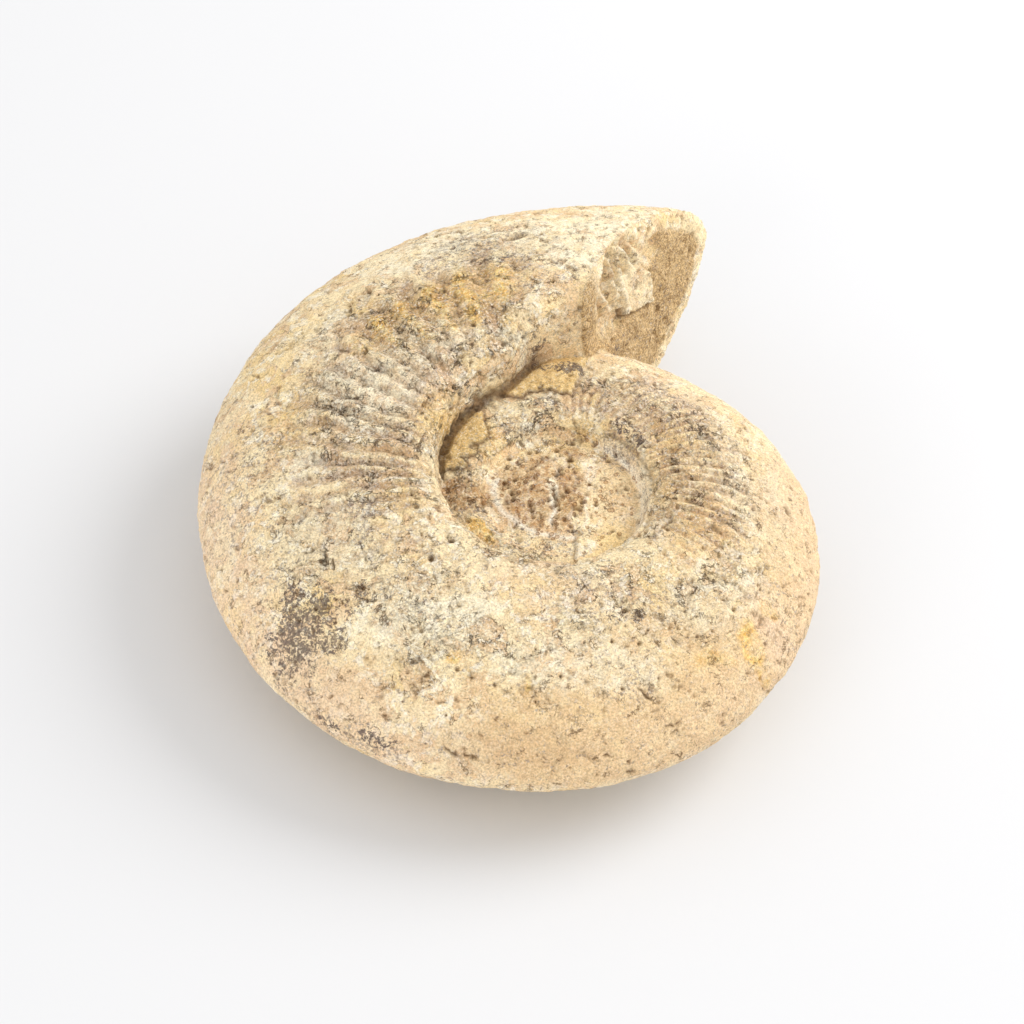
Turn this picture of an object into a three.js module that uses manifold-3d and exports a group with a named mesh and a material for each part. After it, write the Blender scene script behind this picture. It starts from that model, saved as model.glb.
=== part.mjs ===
// Ammonite fossil: the internal mould of a coiled shell in chalky limestone, lying on its flank.
// Millimetres, +Z up. The origin is the middle of the footprint's box, on the surface it rests on.
//
// The coil is worked out in its own frame first: Z is the axis of the spiral, "turn" is the angle
// counted back from the broken end of the outer whorl (radians, anticlockwise seen from above),
// and every whorl section is drawn in units of its own outer radius.
import * as THREE from "three";
import { mergeVertices } from "three/addons/utils/BufferGeometryUtils.js";
import Module from "manifold-3d";

const DEGREE = Math.PI / 180;
const FULL_TURN = 2 * Math.PI;

// Coil
const END_RADIUS = 94; // from the axis of the coil to the outer edge at the broken end
const SHRINK_PER_RADIAN = 0.074; // steady shrinking of the radius along the coil
const BODY_SWELLING = 0.18; // the last stretch of the whorl swells faster than the inner coil
const SWELLING_SPAN = 2.39; // over about this many radians
// Shallow bulges and flats of the outer edge: middle and reach in degrees of turn, share of the radius.
const UNEVENNESS = [
  [4, 14, 0.01],
  [66, 22, 0.012],
  [194, 16, -0.008],
  [275, 30, -0.006],
  [345, 26, -0.028],
];
const END_AZIMUTH = 68 * DEGREE; // where the outer whorl breaks off
const OUTER_TURNS = 1.04;
const INNER_TURNS = 1;

// Whorl section, in units of the whorl's outer radius
const HALF_THICKNESS = 0.307;
const FLANK_CREST = 0.421; // radius at which the flank is thickest
const FLANK_POWER = 1.63; // exponent of the curve from the crest out to the edge
const EDGE_BLUNTING = 0.15; // share of the half thickness over which the outer edge is rounded off
const SEAM_RADIUS = 0.327; // where the whorl meets the one inside it
const SEAM_HEIGHT = 0.215;
const WALL_RUN = 0.011; // the low steep wall around the umbilicus
const WALL_RISE = 0.053;
const INNER_FLANK_POWER = 1.8;

// The umbilicus opens wider over the last stretch of the coil
const OPENING = 0.1; // how far the seam moves out, in units of the whorl's outer radius
const OPENING_START = 22 * DEGREE;
const OPENING_END = 50 * DEGREE;
const OPENING_REACH = 0.4; // distance from the seam over which it dies out
const OPENING_POWER = 1.5;

// Broken end: a slanted face whose upper and inner edges lie further along the coil
const FACE_MEAN_AZIMUTH = 77 * DEGREE;
const FACE_LEAN = 5.5 * DEGREE; // from the middle of the face up to its top edge
const FACE_SWEEP = -16.5 * DEGREE; // for each whole radius outwards
const FACE_SWEEP_CENTRE = 0.7;

// Umbilicus: the hollow in the middle of each flank, filled to below the inner whorl's shoulder
const FILL_RADIUS = 22;
const FILL_HEIGHT = 11.2;
const FILL_RIM_DROP = 1.2;

// Resting attitude: the thick broken end props that side up, and the lower flank is worn where it bears
const REST_TILT = 6.2 * DEGREE;
const REST_TILT_TOWARDS = 80 * DEGREE; // azimuth of the raised side
const WEAR_DEPTH = 1.3;

// Fineness
const OUTER_EDGE_POINTS = 10;
const INNER_FLANK_POINTS = 4;
const OUTER_STATIONS = 66;
const SLANT_STATIONS = 8; // rings over which the slant of the broken face dies out
const INNER_STATIONS = 34;
const FILL_SIDES = 40;
const PIECES_PER_TURN = 3;
const SLIVER = 0.08; // corners closer than this are one corner

const wasm = await Module();
wasm.setup();

function whorlRadius(turn) {
  const swelling = BODY_SWELLING * (1 - Math.exp(-turn / SWELLING_SPAN));
  let unevenness = 1;
  for (const [middle, reach, share] of UNEVENNESS) {
    unevenness += share * Math.exp(-(((turn / DEGREE - middle) / reach) ** 2));
  }
  return END_RADIUS * unevenness * Math.exp(-SHRINK_PER_RADIAN * turn - swelling);
}

// How far the outer edge has drawn in at a share of the half thickness: 0 at the edge, 1 at the crest.
function edgeFall(share) {
  const blunt = EDGE_BLUNTING ** FLANK_POWER;
  const raised = (share ** 2 + EDGE_BLUNTING ** 2) ** (FLANK_POWER / 2) - blunt;
  return raised / ((1 + EDGE_BLUNTING ** 2) ** (FLANK_POWER / 2) - blunt);
}

// Upper half of the section, from the outer edge over the flank and down the umbilical wall.
function upperProfile() {
  const points = [];
  for (let i = 0; i <= OUTER_EDGE_POINTS; i++) {
    const share = Math.sin((i / OUTER_EDGE_POINTS) * (Math.PI / 2)) ** (2 / FLANK_POWER);
    const outwards = (1 - edgeFall(share)) ** (1 / FLANK_POWER);
    points.push([FLANK_CREST + (1 - FLANK_CREST) * outwards, HALF_THICKNESS * share]);
  }
  const shoulderRadius = SEAM_RADIUS + WALL_RUN;
  const shoulderHeight = SEAM_HEIGHT + WALL_RISE;
  for (let i = 1; i <= INNER_FLANK_POINTS; i++) {
    const share = i / INNER_FLANK_POINTS;
    const drop = (HALF_THICKNESS - shoulderHeight) * share ** INNER_FLANK_POWER;
    points.push([FLANK_CREST + (shoulderRadius - FLANK_CREST) * share, HALF_THICKNESS - drop]);
  }
  points.push([SEAM_RADIUS, SEAM_HEIGHT]);
  points.push([SEAM_RADIUS - WALL_RUN, SEAM_HEIGHT - WALL_RISE]);
  return points;
}

// The whole closed section: the upper half, then its mirror image back to the outer edge.
function wholeProfile() {
  const upper = upperProfile();
  const lower = upper.slice(1).map(([radius, height]) => [radius, -height]);
  return [...upper, ...lower.reverse()];
}

// Azimuth of the broken face at a point of the section.
function faceAzimuth(radius, height) {
  const lean = FACE_LEAN * (height / HALF_THICKNESS);
  return FACE_MEAN_AZIMUTH + lean + FACE_SWEEP * (radius - FACE_SWEEP_CENTRE);
}

// The radius of a point of the section once the umbilicus has opened by that turn.
function openedRadius(radius, turn) {
  const opening = OPENING * (1 - THREE.MathUtils.smoothstep(turn, OPENING_START, OPENING_END));
  const nearSeam = Math.max(0, 1 - (radius - SEAM_RADIUS) / OPENING_REACH);
  return radius + opening * nearSeam ** OPENING_POWER;
}

// One ring of the coil. A slant of 1 lays it on the broken face, and 0 squares it to the coil.
function ring(profile, turn, slant) {
  return profile.map(([radius, height]) => {
    const square = END_AZIMUTH + turn;
    const onFace = faceAzimuth(openedRadius(radius, 0), height);
    const azimuth = square + slant * (onFace - END_AZIMUTH);
    const size = whorlRadius(azimuth - END_AZIMUTH);
    const away = size * openedRadius(radius, azimuth - END_AZIMUTH);
    return new THREE.Vector3(
      away * Math.cos(azimuth),
      away * Math.sin(azimuth),
      size * height,
    );
  });
}

// A closed tube through a row of rings, with a flat fan at each end.
function tube(rings) {
  const sides = rings[0].length;
  const positions = rings.flat().flatMap((point) => point.toArray());
  const index = [];
  for (let i = 0; i + 1 < rings.length; i++) {
    for (let j = 0; j < sides; j++) {
      const here = i * sides + j;
      const beside = i * sides + ((j + 1) % sides);
      index.push(here, here + sides, beside);
      index.push(beside, here + sides, beside + sides);
    }
  }
  // Each end is closed straight across, from the upper half of the section to the lower half.
  const last = (rings.length - 1) * sides;
  const half = (sides - 1) / 2;
  for (let above = 0; above < half; above++) {
    const below = (sides - above) % sides;
    const nextAbove = above + 1;
    const nextBelow = sides - above - 1;
    if (above !== below) {
      index.push(above, nextBelow, below);
      index.push(last + above, last + below, last + nextBelow);
    }
    index.push(above, nextAbove, nextBelow);
    index.push(last + above, last + nextBelow, last + nextAbove);
  }
  const geometry = new THREE.BufferGeometry();
  geometry.setAttribute("position", new THREE.Float32BufferAttribute(positions, 3));
  geometry.setIndex(index);
  return geometry;
}

function solid(geometry) {
  geometry.deleteAttribute("normal");
  geometry.deleteAttribute("uv");
  const merged = mergeVertices(geometry);
  return new wasm.Manifold(
    new wasm.Mesh({
      numProp: 3,
      vertProperties: merged.getAttribute("position").array,
      triVerts: new Uint32Array(merged.index.array),
    }),
  );
}

// The mesh of a joined solid, with the slivers left by the joins closed up.
function geometryOf(manifold) {
  const mesh = manifold.getMesh();
  const geometry = new THREE.BufferGeometry();
  geometry.setAttribute("position", new THREE.BufferAttribute(mesh.vertProperties, 3));
  geometry.setIndex(new THREE.BufferAttribute(mesh.triVerts, 1));
  const merged = mergeVertices(geometry, SLIVER);
  const corners = Array.from(merged.index.array);
  const kept = [];
  for (let i = 0; i < corners.length; i += 3) {
    const [a, b, c] = corners.slice(i, i + 3);
    if (a !== b && b !== c && c !== a) {
      kept.push(a, b, c);
    }
  }
  merged.setIndex(kept);
  return merged;
}

// A stretch of the coil, joined from short tubes so that no tube runs into itself.
function coil(firstTurn, turns, stations, slantAt) {
  const profile = wholeProfile();
  const rings = [];
  for (let i = 0; i <= stations; i++) {
    rings.push(ring(profile, firstTurn + (i / stations) * turns * FULL_TURN, slantAt(i)));
  }
  const pieces = Math.ceil(turns * PIECES_PER_TURN);
  const step = Math.ceil(stations / pieces);
  let joined = null;
  for (let start = 0; start < stations; start += step) {
    const piece = solid(tube(rings.slice(start, Math.min(start + step, stations) + 1)));
    joined = joined ? joined.add(piece) : piece;
  }
  return joined;
}

// The matrix that fills both umbilici: a plug with a slightly domed top and bottom.
function umbilicalFill() {
  const rim = FILL_HEIGHT - FILL_RIM_DROP;
  const outline = [
    new THREE.Vector2(0, -FILL_HEIGHT),
    new THREE.Vector2(FILL_RADIUS / 2, -FILL_HEIGHT + FILL_RIM_DROP / 4),
    new THREE.Vector2(FILL_RADIUS, -rim),
    new THREE.Vector2(FILL_RADIUS, rim),
    new THREE.Vector2(FILL_RADIUS / 2, FILL_HEIGHT - FILL_RIM_DROP / 4),
    new THREE.Vector2(0, FILL_HEIGHT),
  ];
  const lathe = new THREE.LatheGeometry(outline, FILL_SIDES);
  lathe.rotateX(Math.PI / 2);
  return solid(lathe);
}

// Tips the coil onto its lower flank and wears the bearing places flat.
function laidToRest(stone) {
  const across = new THREE.Vector3(Math.sin(REST_TILT_TOWARDS), -Math.cos(REST_TILT_TOWARDS), 0);
  const tipped = geometryOf(stone);
  tipped.applyMatrix4(new THREE.Matrix4().makeRotationAxis(across, REST_TILT));
  tipped.computeBoundingBox();
  const { min, max } = tipped.boundingBox;
  const room = 2 * END_RADIUS;
  const below = new THREE.BoxGeometry(2 * room, 2 * room, room);
  below.translate(0, 0, min.z + WEAR_DEPTH - room / 2);
  const worn = geometryOf(solid(tipped).subtract(solid(below)));
  worn.translate(-(min.x + max.x) / 2, -(min.y + max.y) / 2, -(min.z + WEAR_DEPTH));
  return worn;
}

const dyingSlant = (station) => Math.max(0, 1 - station / SLANT_STATIONS);
const noSlant = () => 0;
const outerWhorl = coil(0, OUTER_TURNS, OUTER_STATIONS, dyingSlant);
const innerWhorl = coil(FULL_TURN, INNER_TURNS, INNER_STATIONS, noSlant);
const stone = laidToRest(outerWhorl.add(innerWhorl).add(umbilicalFill()));

const limestone = new THREE.MeshStandardMaterial({
  color: new THREE.Color(0.74, 0.58, 0.37),
  roughness: 0.92,
  metalness: 0,
  flatShading: true,
});

const ammonite = new THREE.Mesh(stone, limestone);
ammonite.name = "ammonite";

const fossil = new THREE.Group();
fossil.add(ammonite);

export default fossil;
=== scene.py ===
"""Ammonite fossil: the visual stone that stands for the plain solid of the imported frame.

The stone is shaped in the coil's own frame, in millimetres: Z is the axis of the spiral, "turn" is
the angle counted back from the broken end of the outer whorl, "share" is the distance from the axis
in units of the whorl's outer radius. It is then tipped onto its lower flank and scaled to metres.
"""

import math

import bpy
import numpy as np
from mathutils import Matrix, Vector


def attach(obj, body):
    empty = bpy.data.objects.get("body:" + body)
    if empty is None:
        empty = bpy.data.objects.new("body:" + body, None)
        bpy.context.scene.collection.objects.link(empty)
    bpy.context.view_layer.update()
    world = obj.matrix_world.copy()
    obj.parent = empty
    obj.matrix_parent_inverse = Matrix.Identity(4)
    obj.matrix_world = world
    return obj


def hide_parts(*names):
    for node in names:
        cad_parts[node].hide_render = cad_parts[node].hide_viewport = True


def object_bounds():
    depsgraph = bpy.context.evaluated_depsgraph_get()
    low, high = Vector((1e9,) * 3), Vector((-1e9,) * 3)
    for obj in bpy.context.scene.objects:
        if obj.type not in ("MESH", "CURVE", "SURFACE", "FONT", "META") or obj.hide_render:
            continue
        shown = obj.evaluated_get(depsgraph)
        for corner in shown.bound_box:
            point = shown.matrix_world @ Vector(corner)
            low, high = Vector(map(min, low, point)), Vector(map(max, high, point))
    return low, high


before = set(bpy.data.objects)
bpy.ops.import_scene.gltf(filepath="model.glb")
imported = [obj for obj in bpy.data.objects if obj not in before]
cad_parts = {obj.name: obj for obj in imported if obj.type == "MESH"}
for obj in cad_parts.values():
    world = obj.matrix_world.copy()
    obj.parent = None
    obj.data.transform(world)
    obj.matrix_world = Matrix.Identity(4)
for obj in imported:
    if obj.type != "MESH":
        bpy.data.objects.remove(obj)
CAD_LOW, CAD_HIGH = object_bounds()

MM = 0.001
DEGREE = math.pi / 180
FULL_TURN = 2 * math.pi

# ---------------- the coil

END_RADIUS = 94.0
SHRINK_PER_RADIAN = 0.074
BODY_SWELLING = 0.18
SWELLING_SPAN = 2.39
# Shallow bulges and flats of the outer edge: middle and reach in degrees of turn, share of the radius.
UNEVENNESS = [
    (4, 14, 0.01),
    (66, 22, 0.012),
    (194, 16, -0.008),
    (275, 30, -0.006),
    (345, 26, -0.028),
]
END_AZIMUTH = 68 * DEGREE
OUTER_TURNS = 1.04
INNER_TURNS = 1.0

HALF_THICKNESS = 0.307
FLANK_CREST = 0.421
FLANK_POWER = 1.63
EDGE_BLUNTING = 0.15
SEAM_SHARE = 0.327
SEAM_HEIGHT = 0.215
WALL_RUN = 0.011
WALL_RISE = 0.053
INNER_FLANK_POWER = 1.8

FACE_MEAN_AZIMUTH = 77 * DEGREE
FACE_LEAN = 5.5 * DEGREE
FACE_SWEEP = -16.5 * DEGREE
FACE_SWEEP_CENTRE = 0.7
PACKED_STATIONS = 66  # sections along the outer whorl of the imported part
PACKED_PROFILE = (10, 4)  # points of its upper half section: outer edge, flank
SLANT_STATIONS = 8
# The slant of the broken face dies out over this turn.
SLANT_SPAN = SLANT_STATIONS / PACKED_STATIONS * OUTER_TURNS * FULL_TURN

# The umbilicus opens wider over the last stretch of the coil.
OPENING = 0.1  # in shares, at the seam
OPENING_START = 22 * DEGREE
OPENING_END = 50 * DEGREE
OPENING_REACH = 0.4

FILL_RADIUS = 22.0
FILL_HEIGHT = 11.2
FILL_RIM_DROP = 1.2

REST_TILT = 6.2 * DEGREE
REST_TILT_TOWARDS = 80 * DEGREE
WEAR_DEPTH = 1.3


def whorl_radius(turn):
    """Distance in millimetres from the axis to the outer edge."""
    swelling = BODY_SWELLING * (1 - np.exp(-turn / SWELLING_SPAN))
    unevenness = 1.0
    for middle, reach, share in UNEVENNESS:
        unevenness = unevenness + share * np.exp(-(((turn / DEGREE - middle) / reach) ** 2))
    return END_RADIUS * unevenness * np.exp(-SHRINK_PER_RADIAN * turn - swelling)


def edge_fall(rise):
    """How far the rounded outer edge has fallen away, from 0 at its middle to 1 at the crest."""
    blunt = EDGE_BLUNTING**FLANK_POWER
    raised = (rise**2 + EDGE_BLUNTING**2) ** (FLANK_POWER / 2) - blunt
    return raised / ((1 + EDGE_BLUNTING**2) ** (FLANK_POWER / 2) - blunt)


def upper_profile(edge_points, flank_points):
    """Shares and heights of the upper half section, from the outer edge to below the seam."""
    rise = np.sin(np.linspace(0, math.pi / 2, edge_points + 1)) ** (2 / FLANK_POWER)
    shares = FLANK_CREST + (1 - FLANK_CREST) * (1 - edge_fall(rise)).clip(0, 1) ** (1 / FLANK_POWER)
    heights = HALF_THICKNESS * rise
    inwards = np.linspace(0, 1, flank_points + 1)[1:]
    shoulder_share = SEAM_SHARE + WALL_RUN
    shoulder_height = SEAM_HEIGHT + WALL_RISE
    flank = FLANK_CREST + (shoulder_share - FLANK_CREST) * inwards
    flank_heights = HALF_THICKNESS - (HALF_THICKNESS - shoulder_height) * inwards**INNER_FLANK_POWER
    wall = [SEAM_SHARE, SEAM_SHARE - WALL_RUN]
    wall_heights = [SEAM_HEIGHT, SEAM_HEIGHT - WALL_RISE]
    return np.concatenate([shares, flank, wall]), np.concatenate([heights, flank_heights, wall_heights])


def whole_profile(edge_points, flank_points):
    """The upper half section and its mirror image, as one closed outline."""
    shares, heights = upper_profile(edge_points, flank_points)
    return np.concatenate([shares, shares[:0:-1]]), np.concatenate([heights, -heights[:0:-1]])


def face_azimuth(share, height):
    """Where the broken face stands, around the axis."""
    lean = FACE_LEAN * (height / HALF_THICKNESS)
    return FACE_MEAN_AZIMUTH + lean + FACE_SWEEP * (share - FACE_SWEEP_CENTRE)


def smooth_step(low, high, value):
    """Eases from 0 to 1 as the value goes from low to high."""
    part = ((value - low) / (high - low)).clip(0, 1)
    return part * part * (3 - 2 * part)


def opening(turn):
    """How far the seam has moved out, in shares."""
    return OPENING * (1 - smooth_step(OPENING_START, OPENING_END, turn))


def opened(shares, turn):
    """Shares of a section, drawn outwards where the umbilicus opens."""
    fading = (1 - (shares - SEAM_SHARE) / OPENING_REACH).clip(0, 1.05) ** 1.5
    return shares + opening(turn) * fading


def coil_rings(first_turn, turns, stations, profile, slanted):
    """Rings of a stretch of the coil, as an array of stations by profile points by 3."""
    shares, heights = profile
    turn = first_turn + np.linspace(0, turns, stations + 1)[:, None] * FULL_TURN
    slant = (1 - turn / SLANT_SPAN).clip(0, 1) if slanted else 0.0
    face = face_azimuth(opened(shares, np.zeros_like(shares)), heights)[None]
    azimuth = END_AZIMUTH + turn + slant * (face - END_AZIMUTH)
    radius = whorl_radius(azimuth - END_AZIMUTH)
    shares = opened(shares[None], azimuth - END_AZIMUTH)
    x = radius * shares * np.cos(azimuth)
    y = radius * shares * np.sin(azimuth)
    return np.stack([x, y, radius * heights], axis=-1)


def tipping():
    """The turn and the shift that take the coil's frame to the frame at rest, in millimetres."""
    across = Vector((math.sin(REST_TILT_TOWARDS), -math.cos(REST_TILT_TOWARDS), 0))
    turned = np.array(Matrix.Rotation(REST_TILT, 3, across))
    rings = coil_rings(0, OUTER_TURNS, PACKED_STATIONS, whole_profile(*PACKED_PROFILE), True)
    tipped = rings.reshape(-1, 3) @ turned.T
    low = tipped.min(axis=0)
    high = tipped.max(axis=0)
    shift = np.array([-(low[0] + high[0]) / 2, -(low[1] + high[1]) / 2, -(low[2] + WEAR_DEPTH)])
    return turned, shift


# ---------------- noise

random = np.random.default_rng(8)
GRADIENTS = random.normal(size=(256, 3)).astype(np.float32)
GRADIENTS /= np.linalg.norm(GRADIENTS, axis=1, keepdims=True)
NOISE_GAIN = 1.8
OCTAVE_ZOOM = 2.03
OCTAVE_SHIFT = 7.7
OCTAVE_TURN = np.array(Matrix.Rotation(0.9, 3, Vector((1, 2, 3))), dtype=np.float32)


# Odd multipliers that scramble the whole-numbered cells, the seed and the result.
CELL_SCRAMBLERS = (374761393, 668265263, 2246822519)
SEED_SCRAMBLER = 3266489917
LAST_SCRAMBLER = 1274126177


def lattice_pick(cell, seed):
    """A pseudo-random byte for each whole-numbered cell."""
    mixed = np.full(len(cell), seed * SEED_SCRAMBLER % 2**32, np.uint32)
    for axis, scrambler in enumerate(CELL_SCRAMBLERS):
        mixed = mixed + cell[:, axis].astype(np.uint32) * np.uint32(scrambler)
    mixed = (mixed ^ (mixed >> np.uint32(13))) * np.uint32(LAST_SCRAMBLER)
    return (mixed ^ (mixed >> np.uint32(16))) & np.uint32(255)


def noise(points, seed):
    """Smooth noise of about -1 to 1, with lumps about one unit across."""
    cell = np.floor(points).astype(np.int32)
    part = (points - cell).astype(np.float32)
    fade = part * part * part * (part * (part * 6 - 15) + 10)
    total = np.zeros(len(points), np.float32)
    for corner in range(8):
        step = np.array([corner & 1, corner >> 1 & 1, corner >> 2 & 1])
        gradient = GRADIENTS[lattice_pick(cell + step, seed)]
        slope = ((part - step.astype(np.float32)) * gradient).sum(axis=1)
        weight = np.where(step, fade, 1 - fade).prod(axis=1)
        total += weight * slope
    return total * NOISE_GAIN


def lumps(points, size, octaves, seed, gain=0.5):
    """Layered noise whose largest lumps are "size" across."""
    place = points.astype(np.float32) / size
    total = np.zeros(len(points), np.float32)
    weight = 1.0
    for octave in range(octaves):
        total += weight * noise(place, seed + octave)
        place = place @ OCTAVE_TURN * OCTAVE_ZOOM + OCTAVE_SHIFT
        weight *= gain
    return total


# ---------------- base mesh

VOXEL = 0.4
EDGE_POINTS = 48
FLANK_POINTS = 16
OUTER_STATIONS = 420
INNER_STATIONS = 260
PIECES = 3  # each stretch of the coil is made as this many closed pieces
PLUG_SIDES = 96
PLUG_SHARES = (0.02, 0.5, 1, 1, 0.5, 0.02)


def evaluated_mesh(item):
    """A new mesh with the modifiers of an object applied."""
    evaluated = item.evaluated_get(bpy.context.evaluated_depsgraph_get())
    return bpy.data.meshes.new_from_object(evaluated)


def tube_mesh(rings, offset):
    """Corners and faces of a closed tube through the rings."""
    stations, sides = rings.shape[:2]
    here = offset + np.arange(stations - 1)[:, None] * sides + np.arange(sides)[None]
    beside = offset + np.arange(stations - 1)[:, None] * sides + (np.arange(sides)[None] + 1) % sides
    faces = np.stack([here, here + sides, beside + sides, beside], axis=-1).reshape(-1, 4).tolist()
    last = offset + (stations - 1) * sides
    half = (sides - 1) // 2
    for above in range(half):
        below = (sides - above) % sides
        next_below = sides - above - 1
        if above != below:
            faces.append([offset + above, offset + above + 1, offset + next_below, offset + below])
            faces.append([last + above, last + below, last + next_below, last + above + 1])
        else:
            faces.append([offset, offset + 1, offset + next_below])
            faces.append([last, last + next_below, last + 1])
    return rings.reshape(-1, 3), faces


def fill_rings():
    """The plug that fills both umbilici, as rings around the axis."""
    upper = [FILL_HEIGHT, FILL_HEIGHT - FILL_RIM_DROP / 4, FILL_HEIGHT - FILL_RIM_DROP]
    heights = upper + [-height for height in reversed(upper)]
    around = np.linspace(0, FULL_TURN, PLUG_SIDES + 1)[:-1]
    rings = []
    for share, height in zip(PLUG_SHARES, heights):
        reach = share * FILL_RADIUS
        level = np.full(PLUG_SIDES, height)
        rings.append(np.stack([reach * np.cos(around), reach * np.sin(around), level], axis=-1))
    return np.array(rings)


def plug_mesh(offset):
    """Corners and faces of the plug."""
    rings = fill_rings()
    stations, sides = rings.shape[:2]
    faces = []
    for station in range(stations - 1):
        for side in range(sides):
            here = offset + station * sides + side
            beside = offset + station * sides + (side + 1) % sides
            faces.append([here, here + sides, beside + sides, beside])
    faces.append([offset + side for side in range(sides)])
    faces.append([offset + (stations - 1) * sides + side for side in range(sides)][::-1])
    return rings.reshape(-1, 3), faces


def base_mesh():
    """Joins the whorls and the plug into one skin of even squares. Returns a Blender mesh in millimetres."""
    profile = whole_profile(EDGE_POINTS, FLANK_POINTS)
    corners = []
    faces = []
    count = 0
    stretches = [
        (0, OUTER_TURNS, OUTER_STATIONS, True),
        (FULL_TURN, INNER_TURNS, INNER_STATIONS, False),
    ]
    for first_turn, turns, stations, slanted in stretches:
        rings = coil_rings(first_turn, turns, stations, profile, slanted)
        step = stations // PIECES
        for start in range(0, stations, step):
            piece, piece_faces = tube_mesh(rings[start : start + step + 1], count)
            corners.append(piece)
            faces += piece_faces
            count += len(piece)
    plug, plug_faces = plug_mesh(count)
    corners.append(plug)
    faces += plug_faces
    mesh = bpy.data.meshes.new("coil")
    mesh.from_pydata(np.concatenate(corners).tolist(), [], faces)
    mesh.update()
    skin = bpy.data.objects.new("coil", mesh)
    bpy.context.scene.collection.objects.link(skin)
    remesh = skin.modifiers.new("skin", "REMESH")
    remesh.mode = "VOXEL"
    remesh.voxel_size = VOXEL
    made = evaluated_mesh(skin)
    bpy.data.objects.remove(skin)
    return made


def arrays_of(mesh):
    """The points of a mesh and their normals."""
    points = np.zeros(len(mesh.vertices) * 3, np.float32)
    mesh.vertices.foreach_get("co", points)
    normals = np.zeros(len(mesh.vertices) * 3, np.float32)
    mesh.vertex_normals.foreach_get("vector", normals)
    return points.reshape(-1, 3).astype(np.float64), normals.reshape(-1, 3).astype(np.float64)


# ---------------- places on the coil


FACE_REACH = 30 * DEGREE  # the face is looked for within this turn of the broken end
# Points past this turn and further out than this stand ahead of the broken end.
OVERHANG_TURN = 340 * DEGREE
OVERHANG_AWAY = 60
FAR = 99.0


class Places:
    """Where each point of the skin lies on the coil."""

    def __init__(self, points, normals):
        self.points = points
        x, y, z = points.T
        azimuth = np.arctan2(y, x)
        self.away = np.hypot(x, y)
        turn = (azimuth - END_AZIMUTH) % FULL_TURN
        overhang = (turn > OVERHANG_TURN) & (self.away > OVERHANG_AWAY)
        turn = np.where(overhang, turn - FULL_TURN, turn)
        radius = whorl_radius(turn)
        face = face_azimuth(self.away / radius, z / radius) - END_AZIMUTH
        ahead = (turn < FACE_REACH) & (turn < face - 0.012)
        older = whorl_radius(turn + FULL_TURN)
        ahead |= (turn < 0) & (self.away < older * 0.99)
        to_face = (turn - face) * self.away
        facing = -(normals[:, 1] * np.cos(azimuth) - normals[:, 0] * np.sin(azimuth))
        rise = (np.abs(z) / (HALF_THICKNESS * older)).clip(0, 1)
        older_edge = FLANK_CREST + (1 - FLANK_CREST) * (1 - edge_fall(rise)).clip(0, 1) ** (1 / FLANK_POWER)
        beyond = self.away > older * older_edge + 0.3
        self.face = (1 - smooth_step(0.5, 1.6, np.abs(to_face))) * smooth_step(0.3, 0.6, facing)
        self.face *= (turn < FACE_REACH) & beyond
        turn = np.where(ahead & (self.face < 0.5), turn + FULL_TURN, turn)
        radius = whorl_radius(turn)
        self.behind_face = np.where(turn < 2 * FACE_REACH, to_face, FAR)
        foot = (SEAM_SHARE + opening(turn) - WALL_RUN) * radius
        self.inner = (self.away < foot + 0.1) & (self.face < 0.5)
        self.from_foot = self.away - foot
        turn = np.where(self.inner, turn + FULL_TURN, turn)
        self.radius = whorl_radius(turn)
        self.turn = turn
        self.degrees = turn / DEGREE
        self.share = self.away / self.radius
        self.height = z / self.radius
        self.upper = smooth_step(-1.5, 1.5, z)
        self.plain = 1 - self.face
        self.core = (1 - smooth_step(17.0, 19.0, self.away)) * (np.abs(z) < FILL_HEIGHT + 0.4)


class Skin:
    """The points of the stone with what is being carved into them."""

    CELL = 4.0
    ACROSS = 128  # cells along each side of the block that holds the stone

    def __init__(self, points, normals):
        self.points = points
        self.normals = normals
        self.height = np.zeros(len(points))
        # painted shade: how dark each point is drawn where shade falls in its crevices
        self.painted_shade = np.zeros(len(points))
        self.pale = np.zeros(len(points))
        self.spared = np.zeros(len(points), bool)  # kept at full detail when the mesh is thinned
        keys = np.floor(points / self.CELL).astype(np.int64) + self.ACROSS // 2
        flat = (keys[:, 0] * self.ACROSS + keys[:, 1]) * self.ACROSS + keys[:, 2]
        self.order = np.argsort(flat, kind="stable")
        names, starts = np.unique(flat[self.order], return_index=True)
        ends = np.append(starts[1:], len(flat))
        self.cells = {name: (start, end) for name, start, end in zip(names, starts, ends)}

    def paint_shade(self, amount, where=slice(None)):
        """Paints shade into crevices, cracks, holes and the feet of steps: these points are drawn dark."""
        self.painted_shade[where] = np.maximum(self.painted_shade[where], amount)

    def near(self, centre, reach):
        """The points in the cells around a place."""
        low = np.floor((centre - reach) / self.CELL).astype(int) + self.ACROSS // 2
        high = np.floor((centre + reach) / self.CELL).astype(int) + self.ACROSS // 2
        found = []
        for i in range(low[0], high[0] + 1):
            for j in range(low[1], high[1] + 1):
                for k in range(low[2], high[2] + 1):
                    span = self.cells.get((i * self.ACROSS + j) * self.ACROSS + k)
                    if span:
                        found.append(self.order[span[0] : span[1]])
        return np.concatenate(found) if found else np.zeros(0, int)

    def patch(self, index, reach, heading):
        """The points around one, with their places along and across a heading in its plane."""
        centre = self.points[index]
        normal = self.normals[index]
        aside = np.cross(normal, [0.3, 0.2, 1.0])
        aside /= np.linalg.norm(aside)
        beyond = np.cross(normal, aside)
        ahead = aside * math.cos(heading) + beyond * math.sin(heading)
        across = np.cross(normal, ahead)
        found = self.near(centre, reach)
        arrow = self.points[found] - centre
        off = arrow @ normal
        kept = np.abs(off) < 1.0 + reach * 0.5
        found = found[kept]
        arrow = arrow[kept]
        return found, arrow @ ahead, arrow @ across


SPARED_DEPTH = 0.45  # flakes, cracks and holes deeper than this keep the full detail of the mesh


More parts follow.
